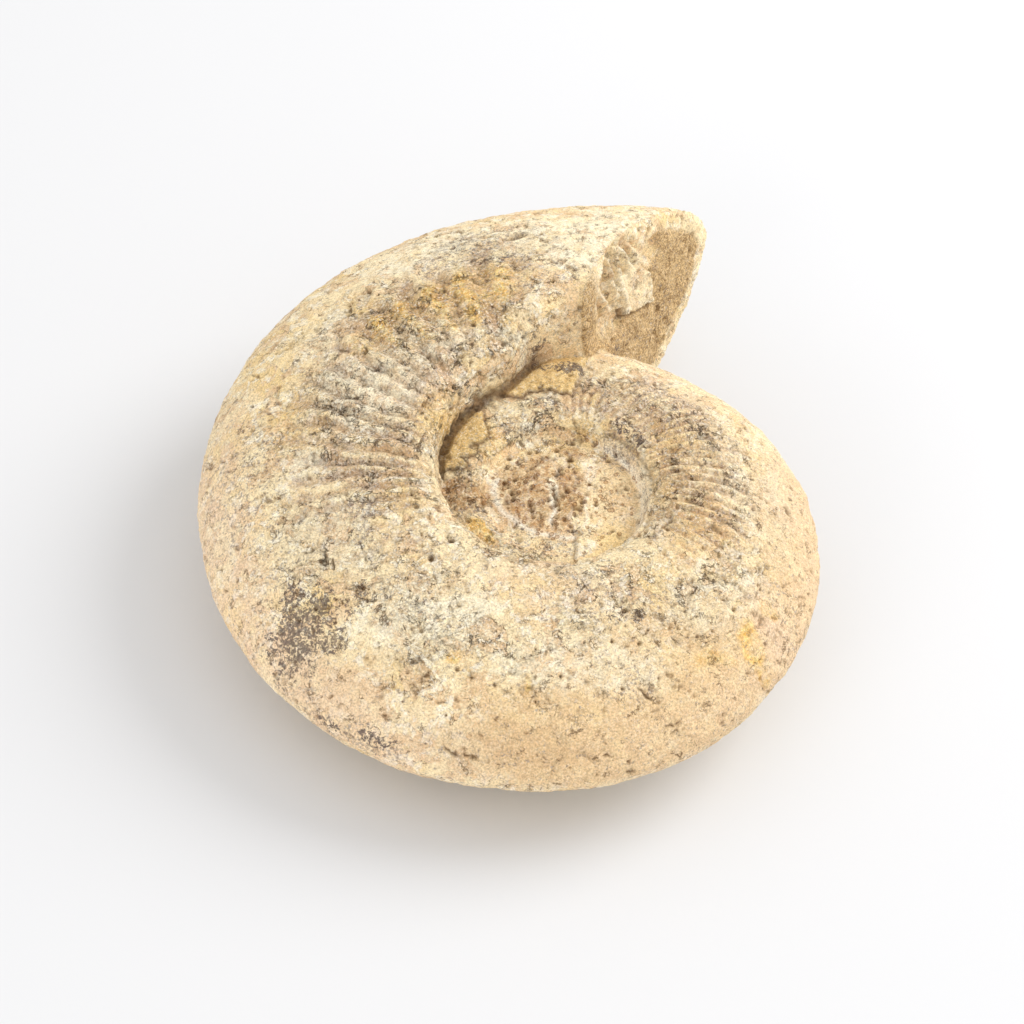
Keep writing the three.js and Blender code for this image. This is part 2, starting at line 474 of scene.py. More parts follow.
def ridge(distance, width):
    """1 on a line, fading out over the width on both sides."""
    return np.exp(-((distance / width) ** 2))


def chip(skin, index, reach, depth, heading, wobble):
    """A flake lost from the surface: a steep curved scarp on one side, running out on the other."""
    found, along, across = skin.patch(index, reach * 1.5, heading)
    angle = np.arctan2(across, along)
    outline = 1 + 0.22 * np.sin(3 * angle + wobble) + 0.12 * np.sin(7 * angle + 2 * wobble)
    ring = np.hypot(along, across) / (reach * outline)
    inside = 1 - smooth_step(0.84, 1.06, ring)
    deep = (0.5 + 0.5 * along / reach).clip(0, 1) ** 1.6
    skin.height[found] -= depth * inside * deep
    # Painted shade at the foot of the scarp.
    foot = inside * smooth_step(0.62, 0.9, ring) * smooth_step(0.6, 0.95, deep)
    skin.paint_shade(foot * min(1.0, depth * 2.2), found)
    skin.spared[found] |= (ring > 0.7) & (ring < 1.15) & (deep > 0.55) & (depth > SPARED_DEPTH)


def crack(skin, index, bend, half_angle, width, depth, heading):
    """A short curved crack."""
    found, along, across = skin.patch(index, bend * min(1.0, half_angle * 1.2) + 1.5, heading)
    along = along + bend
    angle = np.arctan2(across, along)
    ring = np.hypot(along, across) - bend
    ring = ring + 0.5 * noise(skin.points[found] / 0.9, 55)
    window = 1 - smooth_step(half_angle * 0.4, half_angle, np.abs(angle))
    groove = ridge(ring, width) * window
    lip = smooth_step(0, 3 * width, ring) * (1 - smooth_step(3 * width, 8 * width, ring)) * window
    skin.height[found] -= depth * groove
    skin.height[found] += 0.25 * depth * lip
    # Painted shade in the crack.
    skin.paint_shade(groove, found)
    skin.spared[found] |= (groove > 0.15) & (depth > SPARED_DEPTH)


def pit(skin, index, reach, depth, heading=0.0, stretch=1.0):
    """A round hole with a soft floor."""
    found, along, across = skin.patch(index, reach * 1.4 * stretch, heading)
    ring = np.hypot(along / stretch, across) / reach
    hollow = 1 - smooth_step(0.35, 1.05, ring)
    skin.height[found] -= depth * hollow
    # Painted shade in the hole, deeper holes darker.
    skin.paint_shade(hollow * min(1.0, depth), found)
    skin.spared[found] |= (ring < 1.2) & (depth > SPARED_DEPTH)


# ---------------- the broken edge, rounded off


def outline_distance(away, heights, radius):
    """Distance in millimetres from points of the face to the outline of the whorl's section."""
    shares, levels = whole_profile(24, 8)
    shares = opened(shares, np.zeros_like(shares))
    outline = np.stack([shares, levels], axis=1)
    places = np.stack([away, heights], axis=1)
    nearest = np.full(len(away), 1e9)
    for start, end in zip(outline, np.roll(outline, -1, axis=0)):
        first = start * radius[:, None]
        side = (end - start) * radius[:, None]
        part = (((places - first) * side).sum(axis=1) / (side**2).sum(axis=1)).clip(0, 1)
        arrow = first + part[:, None] * side - places
        nearest = np.minimum(nearest, np.linalg.norm(arrow, axis=1))
    return nearest


ROUNDING_STEPS = 220
ROUNDING_LEVELS = 5
ROUNDING_REACH = 8.0


def round_edge(mesh, places):
    """Wears the edge between the flank and the broken face into a soft shoulder."""
    on_face = places.face > 0.5
    places.to_edge = np.full(len(mesh.vertices), FAR)
    places.to_edge[on_face] = outline_distance(
        places.away[on_face], places.points[on_face, 2], places.radius[on_face]
    )
    on_flank = ~on_face & (places.turn < 40 * DEGREE) & (places.behind_face > -1.5)
    apart = np.where(on_face, places.to_edge, np.where(on_flank, np.abs(places.behind_face), FAR))
    reach = ROUNDING_REACH * (0.25 + 0.75 * smooth_step(0.04, 0.22, places.height))
    weight = 1 - smooth_step(0.25, 1.0, apart / reach)
    worn = bpy.data.objects.new("worn", mesh)
    bpy.context.scene.collection.objects.link(worn)
    group = worn.vertex_groups.new(name="edge")
    levels = np.round(weight * ROUNDING_LEVELS).astype(int)
    for level in range(1, ROUNDING_LEVELS + 1):
        group.add(np.nonzero(levels == level)[0].tolist(), level / ROUNDING_LEVELS, "REPLACE")
    smoothing = worn.modifiers.new("wear", "SMOOTH")
    smoothing.factor = 0.5
    smoothing.iterations = ROUNDING_STEPS
    smoothing.vertex_group = "edge"
    made = evaluated_mesh(worn)
    bpy.data.objects.remove(worn)
    return made


# ---------------- ribs

# How high the ribs stand in millimetres, along the turn in degrees.
RIB_TURNS = [0, 28, 42, 75, 85, 118, 135, 165, 250, 272, 300, 345, 372, 400, 700]
RIB_HEIGHTS = [0, 0.0, 0.4, 0.5, 0.62, 0.56, 0.26, 0.08, 0.06, 0.3, 0.46, 0.46, 0.3, 0.05, 0.05]
RIB_CREST = 43.0  # a turn at which one rib stands
RIB_LEAN = -18.0  # degrees of turn per share, over the first part of the coil
RIB_BOW = 2.5  # degrees of turn, over the rest
RIB_COUNT_STEP = 0.5  # degrees of turn between the places where ribs are counted
RIB_COUNT_END = 760


def rib_wave(places):
    """Height of the ribs in millimetres, how deep in a groove each point lies, and where ribs stand."""
    turns = np.arange(0, RIB_COUNT_END + RIB_COUNT_STEP, RIB_COUNT_STEP)
    spacing = 4.4 + 5.8 * np.exp(-(turns - 50).clip(0, None) / 32)
    counted = np.concatenate([[0], np.cumsum(RIB_COUNT_STEP / spacing[1:])])
    counted -= np.interp(RIB_CREST, turns, counted)
    late = smooth_step(130, 240, places.degrees)
    lean = RIB_LEAN * (places.share - 0.4) * (1 - late)
    bow = RIB_BOW * late * np.sin(((places.share - 0.34) / 0.4).clip(0, 1) * math.pi)
    waver = 1.3 * noise(places.points / 8.0, 71) + 0.5 * noise(places.points / 3.0, 73)
    phase = np.interp(places.degrees - lean - bow + waver, turns, counted) * FULL_TURN
    wave = np.cos(phase)
    window = smooth_step(0.335, 0.42, places.share) * (1 - smooth_step(0.64, 0.8, places.share))
    broken = (0.85 + 0.8 * noise(places.points / 6.0, 72)).clip(0.1, 1.4)
    strength = np.interp(places.degrees, RIB_TURNS, RIB_HEIGHTS) * window * broken * places.plain
    strength = np.where(places.core > 0.5, 0, strength)
    shaped = wave - 0.25 * np.cos(2 * phase)
    return strength * shaped, strength * (0.5 - 0.5 * wave), strength


# ---------------- marks at known places
# Each soft patch: middle x and y, half length, half width, heading in degrees, strength.

PATCHES = {
    # pale: cream-white crust, and painted light on the ribbed flanks left and right of the umbilicus
    "pale": [
        (-24, -38, 13, 5, 0, 0.8), (-14, -34.5, 5, 2.6, 12, 1.2), (8, -43, 14, 5, 0, 0.6),
        (-33, 60, 13, 7, 35, 0.9), (-2, 64, 13, 8, 12, 0.8), (10, 72, 10, 8, 15, 0.9),
        (3, 56, 9, 7, 10, 0.9), (-30, 27, 9, 6, 35, 0.7), (-40, 14, 9, 10, 60, 1.0),
        (-27, -37, 8, 8, 0, 0.5), (33, 9, 7, 10, 20, 0.35), (-12, 30, 4, 1.6, 8, 1.2),
        (-24, 26, 3, 1.6, 30, 1.0), (-50, -3, 3.2, 3.0, 0, 1.0), (-53, 33, 9, 5, 55, 0.5),
        (-44, -20, 8, 9, 90, 0.4), (32, -24, 9, 7, 35, 0.5), (42, 0, 6, 14, 0, 0.3),
        (-6.5, 14.5, 2.2, 1.8, 0, 1.0), (0, 1, 1.0, 2.4, 0, 1.0), (17.6, 3, 1.0, 8, 0, 0.8),
        (-2, -45, 9, 3, 0, 0.6),
    ],
    "ochre": [
        (-27, 37, 18, 8, 35, 1.0), (-17, 42, 8, 5, 30, 0.6), (-34, 29, 6, 4, 50, 0.6),
        (-20, 11, 5, 8, 90, 0.5), (-14.5, -11.5, 3.0, 1.6, -35, 1.2), (41, -32, 1.8, 4, 25, 0.9),
        (33, -37, 4, 1.5, 20, 0.5), (-17, -44, 1.4, 1.0, 0, 0.9), (-2, -48, 0.8, 2.0, 0, 0.9),
        (44, -23, 2.0, 2.0, 0, 0.5), (30, -12, 6, 8, 0, 0.3), (26, 3, 7, 12, 20, 0.3),
        (-52, 8, 6, 8, 0, 0.3),
    ],
    "grey": [
        (-22, 60, 13, 6, 30, 0.9), (-14, 53, 5, 2.6, 10, 1.0), (-25, 56, 4, 3, 30, 0.9),
        (-30, 52, 4, 2.5, 40, 0.9), (-6, 47, 8, 6, 20, 0.6), (-4.5, 21.7, 4, 1.8, 0, 1.1),
        (-9, 15.5, 4.5, 3, 30, 0.9), (-38, -15, 3, 2.2, 0, 1.2), (-36, -20, 2.2, 3, 0, 1.0),
        (-62, -4, 7, 15, 0, 0.7), (-40, 12, 7, 9, 60, 0.1), (-16, -7.6, 5, 2, -12, 1.1),
        (-3, -13, 8, 3, -4, 0.8), (13, 13, 5, 5, -45, 0.9), (30, 14, 8, 9, -45, 0.35),
        (37, -5, 2.2, 1.6, 30, 1.0), (20, 26, 9, 5, -35, 0.6), (12, -29, 16, 6, 8, 0.45),
        (-20, -30, 10, 6, 0, 0.2), (-56, -18, 3, 6, 0, 0.6), (-52, -28, 5, 5, 0, 0.6),
        (16, -44, 6, 4, 0, 0.5), (48, -24, 3, 7, 25, 0.4), (-32, -57, 9, 1.6, -28, 0.9),
        (-44, -50, 7, 1.6, -38, 0.7),
    ],
    "stain": [
        (-47, -38, 5.0, 6.5, -40, 1.2), (-46, -37, 8.0, 8.5, -40, 0.45),
        (-49, -32.5, 3.0, 3.0, 0, 1.0), (-41, -40.5, 3.6, 1.4, -10, 0.9), (-36, -31, 1.6, 1.4, 0, 0.9),
        (-38, -34, 4.0, 3.0, 0, 0.4), (-30, -57.5, 3.2, 0.9, -25, 0.9), (-40, -53, 4, 0.8, -35, 0.6),
        (14, 15, 2.2, 4.6, 40, 0.6), (-13, -21, 1.5, 1.0, 0, 0.3), (18, -32, 1.6, 1.2, 0, 0.9),
        (13, -33, 2, 1.6, 0, 0.5), (-6, -9.6, 2, 1, 0, 0.3), (0.0, 32.4, 4.0, 1.9, 0, 1.4),
        (-5.5, 33.0, 2.4, 1.2, 0, 0.8), (3.8, -8.5, 1, 0.8, 0, 0.8), (-25, 57, 2, 1.2, 20, 0.6),
        (-14, 53, 2.5, 1.0, 0, 0.6),
    ],
    "brown": [
        (-3.5, 0.5, 8.4, 9.5, 0, 0.85), (2, 12, 3.2, 1.8, 0, 0.9), (-18, -3, 5, 4.5, 20, 1.1),
        (27, 10, 9, 10, 20, 0.15), (24, -6, 8, 9, 0, 0.28), (14, 20, 8, 6, -40, 0.4),
        (-38, 6, 9, 3, 10, 0.12), (-32, 20, 12, 4, 25, 0.05), (-6, -58, 16, 3, 0, 0.3),
        (-2, 26, 10, 2, 5, 0.4),
    ],
    # tan: mostly painted shade, the right and lower side darker as if less lit; the rest tan stain
    "tan": [
        (40, -38, 24, 13, 45, 1.2), (52, -10, 10, 28, 10, 1.1), (20, -57, 30, 12, 3, 1.3),
        (-40, -50, 14, 6, -40, 0.6), (4, 40, 6, 5, 0, 0.5), (12, 2, 6, 9, 0, 0.7),
        (24, -38, 18, 9, 20, 0.6), (36, 22, 14, 7, -40, 0.4),
    ],
    "pink": [
        (45, -27, 5, 9, 30, 0.6), (-68, -18, 4, 12, -20, 0.6), (-30, 14, 9, 5, 30, 0.5),
        (-56, -38, 4, 9, 40, 0.5), (0, -28, 14, 5, 0, 0.35), (48, 8, 5, 12, 10, 0.4),
        (22, 30, 9, 4, -35, 0.5),
    ],
}
# Spots on the hidden lower side: strength, start and end of their soft edge, size, octaves, seed.
LOWER_SPOTS = {
    "pale": (0.5, 0.25, 0.8, 12.0, 3, 61),
    "ochre": (0.5, 0.3, 0.9, 10.0, 2, 63),
    "grey": (0.7, 0.1, 0.8, 11.0, 2, 65),
    "stain": (0.8, 0.75, 1.0, 14.0, 2, 67),
}
FILLED_PATCH = [(-3.5, 0.5, 8, 9.5, 0, 0.75)]  # where the filled middle shows small round pits
HOLLOW_PATCH = [(-3, 0.5, 8.5, 10, 0, 1.0)]  # where most of its holes are


def painted(plan, patches):
    """How strongly the soft patches cover each point of the plan."""
    total = np.zeros(len(plan))
    for x, y, length, width, heading, strength in patches:
        cosine = math.cos(heading * DEGREE)
        sine = math.sin(heading * DEGREE)
        dx = plan[:, 0] - x
        dy = plan[:, 1] - y
        away = ((dx * cosine + dy * sine) / length) ** 2 + ((dy * cosine - dx * sine) / width) ** 2
        total = np.maximum(total, strength * (1 - smooth_step(0.35, 1.9, away)))
    return total


# Thin layers left on the umbilicus: outlines in plan, from the wall round the broken edge and back.
LAYER_OUTLINES = [
    [
        (-20, 18.8), (-16.4, 18.2), (-15.8, 15), (-14.8, 12.2), (-15.6, 10.4), (-18.2, 9.2), (-18.6, 8.2),
        (-16.8, 7.3), (-17.4, 6.4), (-20, 6.2), (-20.2, 5.4), (-18.6, 4.4), (-19.4, 2.9), (-21.8, 3.0),
        (-23.4, 2.2), (-25.5, 2.4), (-25, 9), (-23, 14),
    ],
    [
        (-13, 23.5), (-8.5, 22.6), (-7.5, 24.8), (-3, 25.4), (0.5, 24.6), (2.5, 23.4), (6.5, 24.0),
        (8.6, 26.6), (7.5, 31), (7, 36), (5, 40), (-4, 38.5), (-8.5, 33), (-11.5, 29.5), (-14, 26.5),
    ],
]
LAYER_THICKNESS = 0.75


def inside_by(plan, outline):
    """Distance of each point from the outline, positive inside."""
    corners = np.array(outline, float)
    nearest = np.full(len(plan), 1e9)
    crossings = np.zeros(len(plan), int)
    for start, end in zip(corners, np.roll(corners, -1, axis=0)):
        side = end - start
        arrow = plan - start
        part = ((arrow @ side) / (side @ side)).clip(0, 1)
        nearest = np.minimum(nearest, np.linalg.norm(arrow - part[:, None] * side, axis=1))
        spans = (start[1] > plan[:, 1]) != (end[1] > plan[:, 1])
        rise = side[1] if side[1] else 1e-9
        crossings += spans & (plan[:, 0] < start[0] + (plan[:, 1] - start[1]) * side[0] / rise)
    return np.where(crossings % 2 == 1, nearest, -nearest)


# Holes at known places on the upper side: x, y, reach, depth, heading in degrees, stretch.
KNOWN_HOLES = [
    (-13.6, 62.6, 2.0, 2.6, -35, 1.9), (-23, -25.2, 0.8, 1.2, -50, 1.4),
    (-19.2, -20.4, 0.7, 1.3, 70, 1.5), (-20, 31.5, 0.7, 0.9, 0, 1.4), (-19.5, 26.5, 0.6, 0.8, 0, 1.0),
    (-13, 28, 0.7, 0.8, 30, 1.3), (-22.8, 7, 0.55, 0.7, 30, 1.8), (-50, -4, 0.7, 1.2, 0, 1.0),
    (12.5, 2.8, 1.2, 0.45, 0, 1.1), (2.8, 14.7, 0.75, 1.0, 0, 1.0), (17, 1.7, 0.6, 0.6, 0, 1.0),
    (13.3, -9, 0.9, 0.5, 0, 1.2), (3.8, -8.5, 0.7, 0.7, 0, 1.1), (2.7, 9.9, 0.7, 0.9, 0, 1.0),
    (8, 10, 0.6, 0.7, 0, 1.0), (6.2, 0.6, 0.7, 0.6, 0, 1.0), (4, -3, 0.8, 0.6, 0, 1.0),
    (-36, -31.2, 0.7, 0.9, 60, 1.3), (18, -32, 0.8, 0.5, 0, 1.3), (-27, -14, 0.6, 0.7, 20, 1.5),
    (32.5, -31.5, 0.5, 0.7, 0, 1.2),
]
# Curved cracks at known places: x, y, bend radius, half angle, width, depth, heading in degrees.
KNOWN_CRACKS = [
    (-43, 45.5, 3.5, 0.7, 0.34, 0.8, -60), (-46.5, 40.5, 6.0, 0.6, 0.3, 0.7, -80),
    (-22, 23, 1.8, 1.1, 0.3, 0.7, -30), (-44, -25, 4.0, 0.5, 0.3, 0.7, 60),
    (-42, -26, 5.0, 0.35, 0.3, 0.8, 55), (-16, -59.5, 9.0, 0.3, 0.3, 0.7, 85),
    (-12, -60, 7.0, 0.3, 0.28, 0.6, 100), (-47, -23, 2.2, 0.8, 0.3, 0.7, 170),
    (-22, -48, 2.5, 0.9, 0.3, 0.7, 180), (-24, -45, 3.0, 0.6, 0.28, 0.6, 150),
    (-30, 14.5, 3.0, 0.5, 0.26, 0.6, 80), (-28, 42, 4.0, 0.5, 0.26, 0.6, 200),
    (26, -50, 6.0, 0.4, 0.28, 0.5, 110),
]


RULED_OUT = 1e3  # added to the squared distance of points that do not face upwards
HEIGHT_BONUS = 1e-3  # taken off it per millimetre of height, so that the upper of two points is picked


def upper_index(points, normals, x, y):
    """The point of the upper surface nearest above a place in plan."""
    away = (points[:, 0] - x) ** 2 + (points[:, 1] - y) ** 2 + RULED_OUT * (normals[:, 2] < 0.1)
    away = away - HEIGHT_BONUS * points[:, 2]
    return int(np.argmin(away))


# ---------------- carving


def terraces(value, levels, sharpness):
    """Turns a smooth value into flat treads with steep risers."""
    scaled = value * levels
    tread = np.floor(scaled)
    return (tread + smooth_step(1 - sharpness, 1, scaled - tread)) / levels


def scatter(skin, chance, count):
    """Picks points of the skin with a given relative chance."""
    return random.choice(len(skin.points), size=count, p=chance / chance.sum())


# How rough the crust is, along the turn.
CALM_TURNS = [0, 25, 45, 60, 110, 170, 230, 300, 372]
CALM_SHARES = [0.25, 0.3, 0.8, 0.9, 1.0, 0.75, 0.55, 0.8, 0.8]


def rough_places(places, points):
    """Where the crust is rough: most near the umbilicus, least along the outer edge."""
    radial = 1 - 0.75 * smooth_step(0.62, 0.92, places.share)
    patchy = 0.75 + 0.5 * lumps(points, 16.0, 2, 57)
    calm = np.interp(places.degrees, CALM_TURNS, CALM_SHARES)
    return (radial * patchy * calm * (1 - 0.6 * places.core)).clip(0.08, 1.0)


# How pinkish the outer edge is, along the turn.
EDGE_TURNS = [0, 90, 115, 165, 200, 260, 300, 372]
EDGE_PINKS = [0, 0, 0.7, 0.6, 0.15, 0.35, 0.4, 0.3]

# The raised middle of the umbilicus: its place in plan and its half length and half width.
MIDDLE_PLACE = (2.8, 0.8)
MIDDLE_REACH = (15.3, 11.2)


def pale_seams(skin, places):
    """Thin pale lines on the filled middle: one across it, one beside it, its rim and its raised foot."""
    x, y, z = skin.points.T
    top = (z > 4) * 1.0
    middle = ridge(x + 0.2 - 0.4 * np.sin(1.3 * y), 0.55) * (1 - smooth_step(7, 9, np.abs(y)))
    beside = ridge(x - 6.3 - 0.4 * np.sin(y * 0.9), 0.45) * (np.abs(y) < 9)
    azimuth = np.arctan2(y, x) / DEGREE
    rim = ridge(places.from_foot - 0.5, 0.6)
    rim = rim * smooth_step(-62, -45, azimuth) * (1 - smooth_step(52, 66, azimuth))
    broken = smooth_step(-0.5, 0.2, noise(skin.points / 1.6, 97))
    right = (x - MIDDLE_PLACE[0]) / MIDDLE_REACH[0]
    over = (y - MIDDLE_PLACE[1]) / MIDDLE_REACH[1]
    off_edge = (np.hypot(right, over) - 1) * MIDDLE_REACH[1] + 0.4 * noise(skin.points / 2.5, 98)
    foot = ridge(off_edge, 0.5) * (np.arctan2(over, right) / DEGREE % 360 > 165)
    foot = foot * (x < 5)
    return np.maximum.reduce([middle * broken, 0.7 * beside * broken, rim, 0.9 * foot]) * top


def carve_crust(skin, places, warped, outer_edge):
    """Broad unevenness, lumps, grain, ribs, thin layers and the rough face. Returns the grooves."""
    points = skin.points
    skin.height += 0.45 * lumps(points, 17.0, 3, 21) * (1 - 0.5 * outer_edge)
    skin.height += 0.17 * lumps(points, 4.0, 3, 25)
    skin.height += 0.07 * lumps(points, 1.3, 2, 29) * (1 - 0.5 * outer_edge)
    ribs, groove, ribbed = rib_wave(places)
    skin.height += ribs
    calm = (1 - 1.2 * ribbed).clip(0.4, 1)
    flaky = smooth_step(-0.35, 0.35, lumps(points, 24.0, 2, 31)) * (1 - places.core) * places.plain
    layers = lumps(warped, 7.0, 4, 33)
    steps = terraces(layers, 3.0, 0.12) - 0.6 * layers
    skin.height += 0.5 * calm * (0.3 + 0.7 * flaky) * steps
    small_layers = lumps(warped, 2.6, 3, 37)
    small_steps = terraces(small_layers, 2.5, 0.15) - 0.5 * small_layers
    skin.height += 0.18 * calm * (0.3 + 0.7 * flaky) * small_steps
    rough_face = 0.7 + 0.4 * lumps(points, 5.0, 3, 41) + 0.18 * lumps(points, 1.1, 2, 45)
    skin.height += places.face * rough_face
    return groove


CHIPS = 1700
CRACKS = 150
PITS = 330
CORE_PITS = 260
FACE_PITS = 160


def scatter_damage(skin, places, plan, outer_edge):
    """Chips, cracks and pits at random places."""
    roughness = smooth_step(-0.5, 0.5, lumps(skin.points, 15.0, 2, 51))
    chance = (0.25 + roughness) * (1 - 0.9 * places.core) * (1 - places.face) * (0.35 + 0.65 * places.upper)
    chance = chance * (1 - 0.45 * outer_edge)
    for index in scatter(skin, chance, CHIPS):
        reach = random.uniform(0.6, 1.0) + 1.3 * random.random() ** 3
        chip(skin, index, reach, random.uniform(0.2, 0.6), random.uniform(0, FULL_TURN), reach * 9)
    for index in scatter(skin, chance, CRACKS):
        bend = random.uniform(0.9, 3.0)
        half_angle = random.uniform(0.4, 0.8)
        width = random.uniform(0.18, 0.26)
        crack(skin, index, bend, half_angle, width, random.uniform(0.3, 0.7), random.uniform(0, FULL_TURN))
    for index in scatter(skin, chance, PITS):
        pit(skin, index, random.uniform(0.35, 0.65), random.uniform(0.4, 0.9))
    pitted = places.core * (0.25 + painted(plan, HOLLOW_PATCH) + 0.3 * (1 - places.upper))
    for index in scatter(skin, pitted, CORE_PITS):
        pit(skin, index, random.uniform(0.45, 0.85), random.uniform(0.5, 1.0))
    for index in scatter(skin, places.face + 1e-9, FACE_PITS):
        pit(skin, index, random.uniform(0.4, 0.9), random.uniform(0.25, 0.6))


def known_damage(skin):
    """Holes and cracks at known places."""
    for x, y, reach, depth, heading, stretch in KNOWN_HOLES:
        index = upper_index(skin.points, skin.normals, x, y)
        pit(skin, index, reach, depth, heading * DEGREE, stretch)
    for x, y, bend, half_angle, width, depth, heading in KNOWN_CRACKS:
        index = upper_index(skin.points, skin.normals, x, y)
        crack(skin, index, bend, half_angle, width, depth, heading * DEGREE)


def colour_masks(skin, places, plan, outer_edge):
    """How strongly each colour of the patches shows, by name."""
    masks = {name: painted(plan, patches) * places.upper for name, patches in PATCHES.items()}
    for name in ("pale", "ochre", "grey", "stain", "brown"):
        masks[name] = masks[name] * places.plain
    for name, (strength, low, high, size, octaves, seed) in LOWER_SPOTS.items():
        spots = smooth_step(low, high, lumps(skin.points, size, octaves, seed))
        masks[name] = masks[name] + strength * spots * (1 - places.upper)
    masks["pale"] = masks["pale"] + skin.pale
    masks["brown"] = np.maximum(masks["brown"], 0.6 * places.core * (1 - places.upper))
    edge = outer_edge * np.interp(places.degrees, EDGE_TURNS, EDGE_PINKS)
    masks["pink"] = np.maximum(masks["pink"], edge)
    return masks


def carve(skin, places):
    """Fills in the height and the painted shade of the skin. Returns the other masks by name."""
    points = skin.points
    warp = np.stack([lumps(points, 5.0, 3, seed) for seed in (11, 12, 13)], axis=1)
    warped = points + 1.3 * warp
    plan = warped[:, :2]
    outer_edge = smooth_step(0.8, 0.97, places.share) * places.plain
    groove = carve_crust(skin, places, warped, outer_edge)
    scatter_damage(skin, places, plan, outer_edge)
    known_damage(skin)
    layer = carve_layers(skin, places)
    skin.spared |= (places.away < 19.5) & (points[:, 2] > 7)
    carve_seam(skin, places)
    carve_core(skin, places)
    smooth_face = carve_face(skin, places)
    return {
        **colour_masks(skin, places, plan, outer_edge),
        "seam": pale_seams(skin, places),
        "groove": (groove * 2.8).clip(0, 1),
        "sandy": places.face * (1 - smooth_face),
        "flaky": rough_places(places, points),
        "pitted": places.core * (0.25 + painted(plan, FILLED_PATCH)),
        "layer": layer,
    }


def carve_layers(skin, places):
    """Adds the thin layers left on the umbilicus. Returns where they lie."""
    jitter = 0.3 * np.stack([noise(skin.points / 1.2, 81), noise(skin.points / 1.2, 82)], axis=1)
    around = (skin.points[:, 2] > 0) & (places.away < 42) & places.inner
    chosen = np.nonzero(around)[0]
    plan = skin.points[chosen, :2] + jitter[chosen]
    covered = np.zeros(len(skin.points))
    for outline in LAYER_OUTLINES:
        inside = inside_by(plan, outline)
        top = smooth_step(-0.15, 0.1, inside)
        skin.height[chosen] += LAYER_THICKNESS * top
        # Painted shade along the foot of each layer.
        foot = smooth_step(-0.9, -0.35, inside) * (1 - smooth_step(-0.2, 0.05, inside))
        skin.paint_shade(foot, chosen)
        covered[chosen] = np.maximum(covered[chosen], top)
        skin.spared[chosen] |= np.abs(inside) < 1.2
    return covered


def carve_seam(skin, places):
    """The crack at the foot of the outer whorl's wall, open at the upper left."""
    azimuth = np.arctan2(skin.points[:, 1], skin.points[:, 0]) / DEGREE
    around = azimuth % 360
    open_part = smooth_step(92, 104, azimuth) * (1 - smooth_step(186, 200, around))
    low_part = smooth_step(186, 200, around) * (1 - smooth_step(300, 330, around))
    waver = 0.25 * noise(skin.points / 1.5, 83)
    near = ridge(places.from_foot + waver, 0.5) * (skin.points[:, 2] > 8)
    skin.height -= near * (0.9 * open_part + 0.2 * low_part)
    # Painted shade in the crack at the wall's foot.
    skin.paint_shade(near * (1.1 * open_part + 0.35 * low_part))


def carve_core(skin, places):
    """The filled middle: a seam across it, a low ridge beside it, a low rim and a broken step below."""
    x, y, z = skin.points.T
    top = (z > 0) & (places.away < 19)
    seam = ridge(x - 0.3 * np.sin(y), 0.45) * (np.abs(y) < 9) * top
    skin.height -= 0.35 * seam
    rim = ridge(x - 6.3 - 0.4 * np.sin(y * 0.9), 0.5) * (np.abs(y) < 9) * top
    skin.height += 0.25 * rim
    azimuth = np.arctan2(y, x) / DEGREE
    reach = smooth_step(-62, -45, azimuth) * (1 - smooth_step(52, 66, azimuth)) * (z > 4)
    skin.height += 0.35 * ridge(places.from_foot - 0.5, 0.6) * reach
    outside = ridge(places.from_foot - 1.9, 0.5) * reach
    skin.height -= 0.4 * outside
    # Painted shade in the groove outside the rim.
    skin.paint_shade(0.6 * outside * smooth_step(-10, 15, azimuth))
    step = smooth_step(4.6, 5.2, x) * (y < -7) * (y > -18) * top * (1 - smooth_step(9, 15, x))
    skin.height += 0.5 * step
    edge = ridge(x - 4.7, 0.35) * (y < -8.5) * (y > -16.5) * top
    # Painted shade along the foot of the step.
    skin.paint_shade(0.6 * edge)


# Ridges left standing in the broken corner, as places on the face: away from the axis, height, twice.
FACE_RIDGES = [
    (51.5, 12.0, 46.5, 24.5),
    (56.5, 11.0, 55.0, 23.0),
    (59.0, 4.5, 60.5, 21.0),
    (65.5, 10.0, 63.0, 19.0),
    (69.0, 9.0, 66.5, 16.5),
]
FACE_PLATE = [(58, 4.0), (70.5, -2.5), (70.5, 6.0), (67.5, 10.5), (60.5, 12.5)]


CORNER_DEPTH = 2.2
BLADE_HEIGHT = 2.6


def face_blades(flat):
    """How high the ridges stand, from 0 between them to 1 along their middles."""
    blades = np.zeros(len(flat))
    for start_away, start_height, end_away, end_height in FACE_RIDGES:
        start = np.array([start_away, start_height])
        side = np.array([end_away, end_height]) - start
        arrow = flat - start
        part = ((arrow @ side) / (side @ side)).clip(0, 1)
        apart = np.linalg.norm(arrow - part[:, None] * side, axis=1)
        blades = np.maximum(blades, (1 - apart / (2.2 - 1.3 * part)).clip(0, 1))
    return blades


